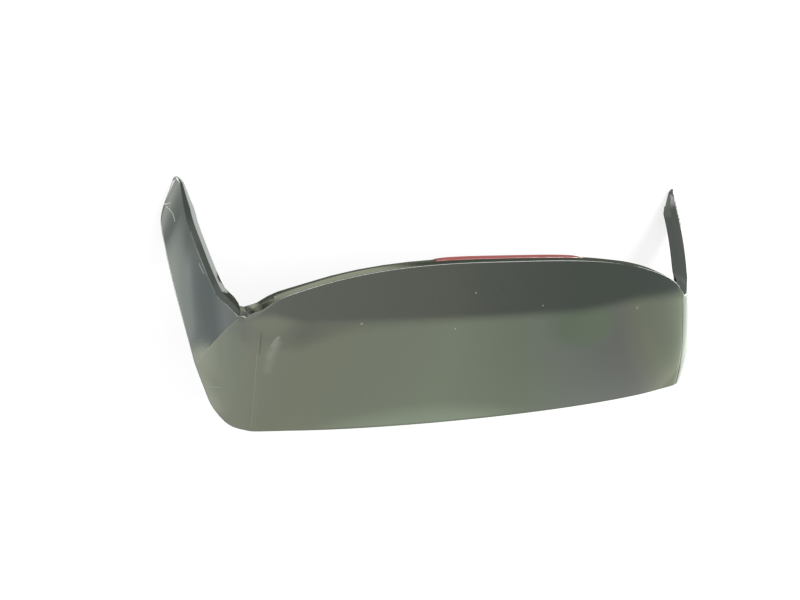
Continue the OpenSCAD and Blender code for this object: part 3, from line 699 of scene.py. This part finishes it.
def foamFinish():
    # Black closed-cell sponge rubber: matt, with open cut cells about a millimetre wide
    material, tree, shader, place = newMaterial("BlackSpongeRubber", "#242424", 0.95)
    cells = addNode(tree, "ShaderNodeTexVoronoi", {}, {"Vector": place, "Scale": 900.0})
    hollow = mapped(tree, cells.outputs["Distance"], 0.1, 0.6)
    # painted shade: the cells' hollows are drawn darker
    varyColour(tree, shader, hollow, "#1a1a1a", "#303030")
    addBump(tree, shader, hollow, 0.6, 0.0004)
    return material


def adhesiveFinish():
    # Cured polyurethane bead: black, satin, with slow lumps from the nozzle
    material, tree, shader, place = newMaterial("CuredPolyurethane", "#2b2c2d", 0.38)
    lumps = noise(tree, place, 160.0)
    varyColour(tree, shader, lumps, "#232425", "#343536")
    addBump(tree, shader, lumps, 0.4, 0.001)
    return material


def lensFinish():
    # Red acrylic lamp lens: coloured plastic, polished outside, with the faint waviness of a moulding
    # its red is lightened towards pink: partly the plastic's colour, partly a painted reflection of the pale
    # surroundings
    material, tree, shader, place = newMaterial(
        "RedAcrylic", "#de6a70", 0.08, IOR=1.55, Transmission_Weight=0.1)
    wave = noise(tree, place, 60.0, detail=1.0)
    varyColour(tree, shader, wave, "#d55f66", "#e5747a")
    addBump(tree, shader, wave, 0.03, 0.001)
    return material


def boardFinish():
    # Glass-fibre circuit board under green solder resist: copper tracks show through as paler bands
    material, tree, shader, place = newMaterial("GreenSolderResist", "#1f6a42", 0.3)
    tracks = addNode(tree, "ShaderNodeTexBrick", {"offset": 0.5}, {
        "Vector": place, "Scale": 60.0, "Mortar Size": 0.06, "Color1": hexColour("#1c5f3a"),
        "Color2": hexColour("#226f46"), "Mortar": hexColour("#3c9560")})
    tree.links.new(tracks.outputs["Color"], shader.inputs["Base Color"])
    return material


def diodeFinish():
    # Surface-mounted light source: yellow phosphor, slightly uneven
    material, tree, shader, place = newMaterial("PhosphorPackage", "#e8d98a", 0.35)
    varyColour(tree, shader, noise(tree, place, 500.0), "#f0e3a0", "#dcc96a")
    return material


def guideFinish():
    # Clear acrylic light guide, frosted in places
    material, tree, shader, place = newMaterial(
        "ClearAcrylic", "#f2f4f4", 0.12, IOR=1.49, Transmission_Weight=0.9)
    varyRoughness(tree, shader, mapped(tree, noise(tree, place, 900.0), 0.0, 1.0, 0.05, 0.25))
    return material


def brassFinish():
    # Stamped brass contact, lightly tarnished
    material, tree, shader, place = newMaterial("StampedBrass", "#d6b25e", 0.3, Metallic=1.0)
    varyColour(tree, shader, noise(tree, place, 260.0, detail=4.0), "#d9b767", "#a8823c")
    return material


def zincFinish():
    # Zinc-plated and clear-passivated steel: pale grey with a soft yellow and blue cast
    material, tree, shader, place = newMaterial("PassivatedZinc", "#b9b9b2", 0.34, Metallic=1.0)
    cast = noise(tree, place, 120.0, detail=3.0)
    varyColour(tree, shader, cast, "#c4bfa6", "#a9b2bd")
    varyRoughness(tree, shader, mapped(tree, cast, 0.0, 1.0, 0.25, 0.45))
    return material


def clipFinish():
    # Natural acetal clip: milky white, with a faint moulded bloom
    material, tree, shader, place = newMaterial("NaturalAcetal", "#dcdad0", 0.4)
    varyColour(tree, shader, noise(tree, place, 300.0), "#e2e0d6", "#cfccc0")
    return material


finishes = {
    "gloss_paint": paintFinish(), "black_plastic": grainedFinish(), "foam": foamFinish(),
    "adhesive": adhesiveFinish(), "red_lens": lensFinish(), "board": boardFinish(), "led": diodeFinish(),
    "clear_plastic": guideFinish(), "brass": brassFinish(), "steel": zincFinish(),
    "clip_plastic": clipFinish(),
}

for part in frame["record"]["subparts"]:
    for materialSlot in nodes[part["node"]].material_slots:
        materialSlot.material = finishes[part["material_slot"]]
skin.data.materials.append(finishes["gloss_paint"])
lens.data.materials.append(finishes["red_lens"])
print("finishes made:", len(finishes))


def settle(piece, slotName, *replaced):
    # what every finished piece needs from the frame
    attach(piece, "root")
    if replaced:
        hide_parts(*replaced)


settle(lens, "red_lens", "lamp_lens")


def makeFlutes():
    # on the back of the lens, one beside the other along it
    s = lensShape
    middle, out = (s["top"] + s["bottom"]) / 2, (s["outTop"] + s["outBottom"]) / 2 - s["thickness"]
    lean = math.atan2(s["outBottom"] - s["outTop"], s["bottom"] - s["top"])
    line = onCar([besideEdge(x, out, middle)
                  for x in np.linspace(-s["fluteEnd"], s["fluteEnd"], s["lineSteps"] + 1)])
    links = [(i, i + 1) for i in range(s["lineSteps"])]
    return grownPiece("lensFlutes", fluteTree(), baseObject("lensLine", line, links), {
        "Spacing": s["flutePitch"] / 1000, "Radius": s["fluteRadius"] / 1000,
        "Height": (s["bottom"] - s["top"] - s["fluteInset"]) / 1000, "Turn": lean - pitch,
        "Material": finishes["red_lens"]})


settle(makeFlutes(), "red_lens")
print("lens made")


def turnedPiece(name, outline, places, axis, material, sides=40):
    # one closed turned body at each place; outline is radius and height along the axis, in millimetres
    tilt = Vector((0, 0, 1)).rotation_difference(Vector(axis)).to_matrix().to_4x4()
    points, faces = [], []
    for place in places:
        base, rings = len(points), outline(place)
        for radius, height in rings:
            for k in range(sides):
                a = 2 * math.pi * k / sides
                around = Vector((radius * math.cos(a), radius * math.sin(a), height))
                points.append(tilt @ around / 1000 + Vector(place))
        for i in range(len(rings) - 1):
            for k in range(sides):
                a, b = base + i * sides + k, base + i * sides + (k + 1) % sides
                faces.append((a, b, b + sides, a + sides))
        faces.append(tuple(base + k for k in range(sides - 1, -1, -1)))
        faces.append(tuple(base + (len(rings) - 1) * sides + k for k in range(sides)))
    piece = meshObject(name, points, faces)
    piece.data.materials.append(material)
    return piece


# Studs, standing in the bosses of the lower shell, with an M6 thread below their seats
studShape = {"length": 22, "core": 2.42, "tipChamfer": 0.9, "neck": 0.4, "grip": 3.2, "headRadius": 10,
             "headHeight": 2, "headEdge": 0.4, "bossTop": 6, "threadPitch": 1, "threadTurns": 19,
             "threadStart": 0.8, "threadRadius": 2.62, "ridge": 0.36}
studPlaces = [(x * shape["studDx"] / 2000, y * shape["studDy"] / 2000, 0) for x in (-1, 1) for y in (-1, 1)]


def bossHeight(place):
    # height of the lower shell's boss above a stud's seat, on the car
    x, y = place[0] * 1000, place[1] * 1000
    sine, cosine = math.sin(pitch), math.cos(pitch)
    guess = shape["studBack"] + y / cosine
    lying = shape["studBack"] + (y - (lowerShellHeight(x, guess) - seatHeight) * sine) / cosine
    shell = cosine * (lowerShellHeight(x, lying) - seatHeight) - sine * (lying - shape["studBack"])
    return shell + studShape["bossTop"]


def studOutline(place):
    s, top, edge = studShape, bossHeight(place), studShape["headEdge"]
    return [(s["core"] - s["tipChamfer"], -s["length"]), (s["core"], s["tipChamfer"] - s["length"]),
            (s["core"], -s["neck"]), (s["grip"], 0), (s["grip"], top), (s["headRadius"] - edge, top),
            (s["headRadius"], top + edge), (s["headRadius"], top + s["headHeight"] - edge),
            (s["headRadius"] - edge, top + s["headHeight"])]


studs = turnedPiece("studs", studOutline, studPlaces, (0, 0, 1), finishes["steel"])
settle(studs, "steel", "mounting_studs")


def threadTree():
    tree, source = newTree("MetricThread", ("Turns", "Height", "Radius", "Ridge"))
    coil = addNode(tree, "GeometryNodeCurveSpiral", {}, {
        "Resolution": 20, "Rotations": source.outputs["Turns"], "Start Radius": source.outputs["Radius"],
        "End Radius": source.outputs["Radius"], "Height": source.outputs["Height"]})
    ring = addNode(tree, "GeometryNodeCurvePrimitiveCircle", {}, {
        "Resolution": 6, "Radius": source.outputs["Ridge"]})
    ridge = addNode(tree, "GeometryNodeCurveToMesh", {}, {
        "Curve": coil, "Profile Curve": ring.outputs["Curve"], "Fill Caps": True})
    threads = addNode(tree, "GeometryNodeInstanceOnPoints", {}, {
        "Points": source.outputs["Geometry"], "Instance": ridge})
    closeTree(tree, source, threads)
    return tree


threadFoot = (studShape["threadStart"] - studShape["length"]) / 1000
threadBase = baseObject("threadFeet", [(x, y, threadFoot) for x, y, _ in studPlaces])
threads = grownPiece("studThreads", threadTree(), threadBase, {
    "Turns": float(studShape["threadTurns"]),
    "Height": studShape["threadTurns"] * studShape["threadPitch"] / 1000,
    "Radius": studShape["threadRadius"] / 1000, "Ridge": studShape["ridge"] / 1000,
    "Material": finishes["steel"]})
settle(threads, "steel")
print("studs made")


# Push-in clips under the winglets, each a stem with barbs like a fir tree
clipShape = {"seatRise": 6, "padRadius": 6, "padThickness": 1, "padEdge": 0.3, "padGap": 0.05,
             "stem": 2.1, "length": 11, "tip": 3, "tipRadius": 0.8,
             "barb": 3.4, "barbHeight": 1.7, "barbs": 5, "barbStep": 1.9}
clipAxis = onCarDirection((0, 0, 1))


def clipSeats(side):
    # seat of each clip, from the frame's own mounts
    found = []
    for mount in frame["record"]["mounts"]:
        if mount["name"].startswith(side) and mount["kind"] == "pin":
            found.append(tuple(Vector(mount["pos_m"]) + clipAxis * clipShape["seatRise"] / 1000))
    return found


def clipOutline(place):
    s = clipShape
    return [(s["tipRadius"], -s["length"] - s["tip"]), (s["stem"], -s["length"]),
            (s["stem"], -s["padThickness"]), (s["padRadius"] - s["padEdge"], -s["padThickness"]),
            (s["padRadius"], s["padEdge"] - s["padThickness"]), (s["padRadius"], -s["padGap"])]


def barbTree():
    tree, source = newTree("ClipBarbs", ("Barb", "Stem", "Height", "Turn"))
    cone = addNode(tree, "GeometryNodeMeshCone", {}, {
        "Vertices": 28, "Radius Top": source.outputs["Barb"], "Radius Bottom": source.outputs["Stem"],
        "Depth": source.outputs["Height"]})
    barbs = copiesOnPoints(tree, source, source.outputs["Geometry"], cone.outputs["Mesh"])
    closeTree(tree, source, barbs)
    return tree


barbNodes = barbTree()
for side in ("left", "right"):
    seats = clipSeats(side)
    clips = turnedPiece(side + "Clips", clipOutline, seats, clipAxis, finishes["clip_plastic"])
    settle(clips, "clip_plastic", side + "_clips")
    feet = [tuple(Vector(seat) - clipAxis * (clipShape["length"] - clipShape["barbStep"] * k) / 1000)
            for seat in seats for k in range(clipShape["barbs"])]
    barbs = grownPiece(side + "ClipBarbs", barbNodes, baseObject(side + "ClipFeet", feet), {
        "Barb": clipShape["barb"] / 1000, "Stem": clipShape["stem"] / 1000,
        "Height": clipShape["barbHeight"] / 1000, "Turn": -pitch, "Material": finishes["clip_plastic"]})
    settle(barbs, "clip_plastic")
print("clips made")


# Surroundings, stage, lamp and camera

stageShape = {"floorSize": 12.0, "floorGap": 0.0005, "paper": 0.85, "seenPaper": 0.42, "seenGlow": 0.77,
              "fill": 0.62, "key": {"place": (1.6, 1.0, 2.4), "size": 1.6, "power": 30.0}}

# What the gloss sees, with the spoiler lying back: linear colours by where a reflection points.
# low, the pale floor in front, and high, the darker room behind, go by how far to the right it points.
# The three on the left go by how far up it points
roomGlow = {
    "low": [(-1.0, 2.05, 2.15, 1.7), (-0.3, 1.75, 1.88, 1.38), (0.28, 1.72, 1.99, 1.46),
            (0.48, 1.4, 1.64, 1.18), (0.65, 1.25, 1.38, 1.2), (0.81, 0.96, 0.99, 0.93),
            (0.9, 1.08, 1.18, 0.84), (1.0, 0.9, 1.05, 0.78)],
    "high": [(-1.0, 1.35, 1.4, 1.25), (-0.55, 1.02, 1.07, 0.93), (-0.05, 0.88, 0.93, 0.8),
             (0.27, 0.75, 0.77, 0.64), (0.44, 0.54, 0.58, 0.51), (0.72, 0.33, 0.39, 0.35),
             (1.0, 0.24, 0.29, 0.26)],
    "leftFloor": [(-0.1, 3.0, 3.2, 2.7), (0.1, 2.9, 3.1, 2.5), (0.2, 2.2, 2.4, 1.85),
                  (0.35, 1.95, 2.15, 1.7)],
    "leftWall": [(-0.09, 2.85, 3.1, 2.85), (-0.05, 2.15, 2.4, 2.2), (-0.01, 2.1, 2.3, 2.2),
                 (0.02, 1.25, 1.42, 1.4), (0.07, 1.02, 1.18, 1.2), (0.13, 1.0, 1.18, 1.2),
                 (0.22, 1.6, 1.8, 1.75), (0.4, 1.5, 1.6, 1.4)],
    "leftWindow": [(-0.08, 2.6, 2.8, 2.6), (-0.04, 1.7, 1.9, 1.8), (-0.02, 1.0, 1.14, 1.1),
                   (0.1, 1.6, 1.74, 1.62), (0.22, 2.4, 2.6, 2.4), (0.5, 3.4, 3.6, 3.3)],
    "behind": (0.72, 0.78, 0.73), "beneath": (0.15, 0.17, 0.12), "strip": (14.0, 14.0, 14.0),
    "bend": 0.055, "leftRise": 0.075, "rightRise": 0.045,
}
glowScale = 14.0    # a ramp holds no more than 1, so its colours are divided by this
# Where one part of the room passes into the next: no share of it at the first value, all at the second
roomEdges = {
    "leftRise": (-0.38, -0.72), "rightRise": (0.7, 0.92), "floorToRoom": (-0.205, -0.125),
    "floorToWall": (-0.1, -0.075), "left": (-0.8, -0.9), "windowBack": (0.14, 0.3),
    "windowLeft": (-0.68, -0.84), "behind": (0.6, 0.75), "beneath": (-0.2, -0.4),
    "stripFront": (0.26, 0.36), "stripBack": (0.72, 0.62), "stripLow": (0.3, 0.45),
    "stripLeft": (-0.78, -0.62),
}
# Pale panels lower down: middle direction, the angles in degrees within which each is full and beyond
# which it ends, and its colour
panels = [
    {"middle": (-0.15, 0.82, -0.55), "full": 14, "end": 32, "colour": (1.6, 1.7, 1.25)},
    {"middle": (0.83, -0.2, -0.52), "full": 14, "end": 18, "colour": (1.35, 1.45, 1.3)},
    {"middle": (0.97, 0.14, -0.18), "full": 8, "end": 11, "colour": (10, 10, 10)},
    {"middle": (0.95, 0.3, -0.05), "full": 9, "end": 13, "colour": (10, 10, 10)},
    {"middle": (0.2, -0.93, 0.3), "full": 12, "end": 24, "colour": (2.3, 2.7, 2.0)},
]
# The greenish part of the floor, seen in the blade's right half
sheen = {"middle": (0.72, -0.2, 0.66), "full": 2, "end": 11, "colour": (0.98, 1.28, 0.86)}


def mixShaders(tree, amount, first, second):
    return addNode(tree, "ShaderNodeMixShader", {}, {0: amount, 1: first, 2: second})


def glowRamp(tree, value, stops, low=-1.0, high=1.0):
    ramp = addNode(tree, "ShaderNodeValToRGB", {}, {"Fac": mapped(tree, value, low, high)})
    elements = ramp.color_ramp.elements
    while len(elements) < len(stops):
        elements.new(0.5)
    for element, (place, red, green, blue) in zip(elements, stops):
        element.position = (place - low) / (high - low)
        element.color = (red / glowScale, green / glowScale, blue / glowScale, 1)
    return ramp.outputs["Color"]


def paintedOver(tree, amount, under, colour):
    return blendColours(tree, amount, under, [c / glowScale for c in colour] + [1])


def makeWorld():
    world = bpy.data.worlds.new("studio")
    bpy.context.scene.world = world
    world.use_nodes = True
    tree = world.node_tree
    tree.nodes.clear()
    ray = addNode(tree, "ShaderNodeLightPath")
    direction = addNode(tree, "ShaderNodeTexCoord").outputs["Generated"]

    def towards(middle):
        return addNode(tree, "ShaderNodeVectorMath", {"operation": "DOT_PRODUCT"},
                       {0: direction, 1: tuple(onCarDirection(middle))}).outputs["Value"]

    def step(value, edge):
        return softStep(tree, value, *roomEdges[edge])

    def within(zone):
        return softStep(tree, towards(zone["middle"]), math.cos(math.radians(zone["end"])),
                        math.cos(math.radians(zone["full"])))

    def background(colour, strength):
        return addNode(tree, "ShaderNodeBackground", {}, {"Color": colour, "Strength": strength})

    right, back, up = towards((1, 0, 0)), towards((0, 1, 0)), towards((0, 0, 1))
    # the edge between the pale floor and the darker room bends, and rises at both ends
    level = number(tree, "MULTIPLY_ADD", number(tree, "MULTIPLY", right, right), -roomGlow["bend"], back)
    rise = number(tree, "MULTIPLY", step(right, "leftRise"), roomGlow["leftRise"])
    rise = number(tree, "MULTIPLY_ADD", step(right, "rightRise"), roomGlow["rightRise"], rise)
    level = number(tree, "SUBTRACT", level, rise)

    low = paintedOver(tree, within(sheen), glowRamp(tree, right, roomGlow["low"]), sheen["colour"])
    room = blendColours(tree, step(level, "floorToRoom"), low, glowRamp(tree, right, roomGlow["high"]))
    leftFloor, leftWall, leftWindow = (
        glowRamp(tree, up, roomGlow[key], low=-0.5) for key in ("leftFloor", "leftWall", "leftWindow"))
    left = blendColours(tree, step(back, "floorToWall"), leftFloor, leftWall)
    room = blendColours(tree, step(right, "left"), room, left)
    window = number(tree, "MULTIPLY", step(back, "windowBack"), step(right, "windowLeft"))
    room = blendColours(tree, window, room, leftWindow)
    room = paintedOver(tree, step(back, "behind"), room, roomGlow["behind"])
    room = paintedOver(tree, step(up, "beneath"), room, roomGlow["beneath"])
    # the strip lamp behind and above
    strip = number(tree, "MULTIPLY", step(back, "stripFront"), step(back, "stripBack"))
    strip = number(tree, "MULTIPLY", strip, step(up, "stripLow"))
    strip = number(tree, "MULTIPLY", strip, step(right, "stripLeft"))
    room = paintedOver(tree, strip, room, roomGlow["strip"])
    for panel in panels:
        room = paintedOver(tree, within(panel), room, panel["colour"])

    white = (1, 1, 1, 1)
    fill, gloss = background(white, stageShape["fill"]), background(room, glowScale)
    soft = mixShaders(tree, ray.outputs["Is Glossy Ray"], fill, gloss)
    either = number(tree, "MAXIMUM", ray.outputs["Is Camera Ray"], ray.outputs["Is Transmission Ray"])
    whole = mixShaders(tree, either, soft, background(white, 1.0))
    addNode(tree, "ShaderNodeOutputWorld", {}, {"Surface": whole})


def emptyMaterial(name):
    material = bpy.data.materials.new(name)
    material.use_nodes = True
    material.node_tree.nodes.clear()
    return material, material.node_tree


def makeFloor():
    half, level = stageShape["floorSize"] / 2, cadLow[2] - stageShape["floorGap"]
    corners = [(-half, -half, level), (half, -half, level), (half, half, level), (-half, half, level)]
    floor = meshObject("floor", corners, [(0, 1, 2, 3)])
    material, tree = emptyMaterial("PaleStudioFloor")
    ray = addNode(tree, "ShaderNodeLightPath")

    def diffuse(grey):
        return addNode(tree, "ShaderNodeBsdfDiffuse", {}, {"Color": (grey, grey, grey, 1)})

    lift = addNode(tree, "ShaderNodeEmission", {}, {"Strength": stageShape["seenGlow"]})
    seen = addNode(tree, "ShaderNodeAddShader", {}, {0: diffuse(stageShape["seenPaper"]), 1: lift})
    whole = mixShaders(tree, ray.outputs["Is Camera Ray"], diffuse(stageShape["paper"]), seen)
    # from underneath the floor isn't there
    below = addNode(tree, "ShaderNodeNewGeometry").outputs["Backfacing"]
    final = mixShaders(tree, below, whole, addNode(tree, "ShaderNodeBsdfTransparent"))
    addNode(tree, "ShaderNodeOutputMaterial", {}, {"Surface": final})
    floor.data.materials.append(material)
    floor.visible_glossy = False


# A pale reflector lying inside the left winglet, in millimetres, lying back
cardShape = {"near": [(-585, 416, 6), (-540, 374, 6), (-500, 338, 6), (-380, 322, 6)],
             "far": [(-380, 354, 6), (-440, 368, 6), (-500, 404, 6), (-560, 448, 6), (-602, 474, 6)],
             "colour": (0.95, 1.0, 0.97, 1), "glow": 2.5}


def makeCard():
    # only the gloss sees it
    outline = cardShape["near"] + cardShape["far"]
    card = meshObject("card", onCar(outline), [tuple(range(len(outline)))])
    material, tree = emptyMaterial("PaleReflector")
    shine = addNode(tree, "ShaderNodeEmission", {}, {
        "Color": cardShape["colour"], "Strength": cardShape["glow"]})
    addNode(tree, "ShaderNodeOutputMaterial", {}, {"Surface": shine})
    card.data.materials.append(material)
    card.visible_camera = card.visible_diffuse = card.visible_shadow = card.visible_transmission = False


def makeLamp():
    key = stageShape["key"]
    light = bpy.data.lights.new("key", "AREA")
    light.shape = "DISK"
    light.size = key["size"]
    light.energy = key["power"]
    lamp = newObject("key", light)
    lamp.location = key["place"]
    lamp.rotation_euler = (-Vector(key["place"])).to_track_quat("-Z", "Y").to_euler()
    lamp.visible_glossy = False


# The photograph's own viewpoint, worked out from the spoiler's symmetry; place in millimetres, lying back
cameraView = {"place": (-643.1, 367.3, 1312.2), "right": (0.9340, 0, 0.3573),
              "up": (0.0404, 0.9936, -0.1057), "forward": (0.3550, -0.1131, -0.9280),
              "lens": 29.25, "sensor": 36, "nearest": 0.01, "furthest": 50}


def makeCamera():
    data = bpy.data.cameras.new("camera")
    data.lens = cameraView["lens"]
    data.sensor_width = cameraView["sensor"]
    data.clip_start, data.clip_end = cameraView["nearest"], cameraView["furthest"]
    camera = newObject("camera", data)
    x, y, z = (onCarDirection(cameraView[key]) for key in ("right", "up", "forward"))
    turn = Matrix((x, y, -z)).transposed()
    place = Vector(onCar([cameraView["place"]])[0])
    camera.matrix_world = Matrix.Translation(place) @ turn.to_4x4()
    bpy.context.scene.camera = camera


makeWorld()
makeFloor()
makeCard()
makeLamp()
makeCamera()
bpy.context.scene.view_settings.view_transform = "Standard"
print("stage made")
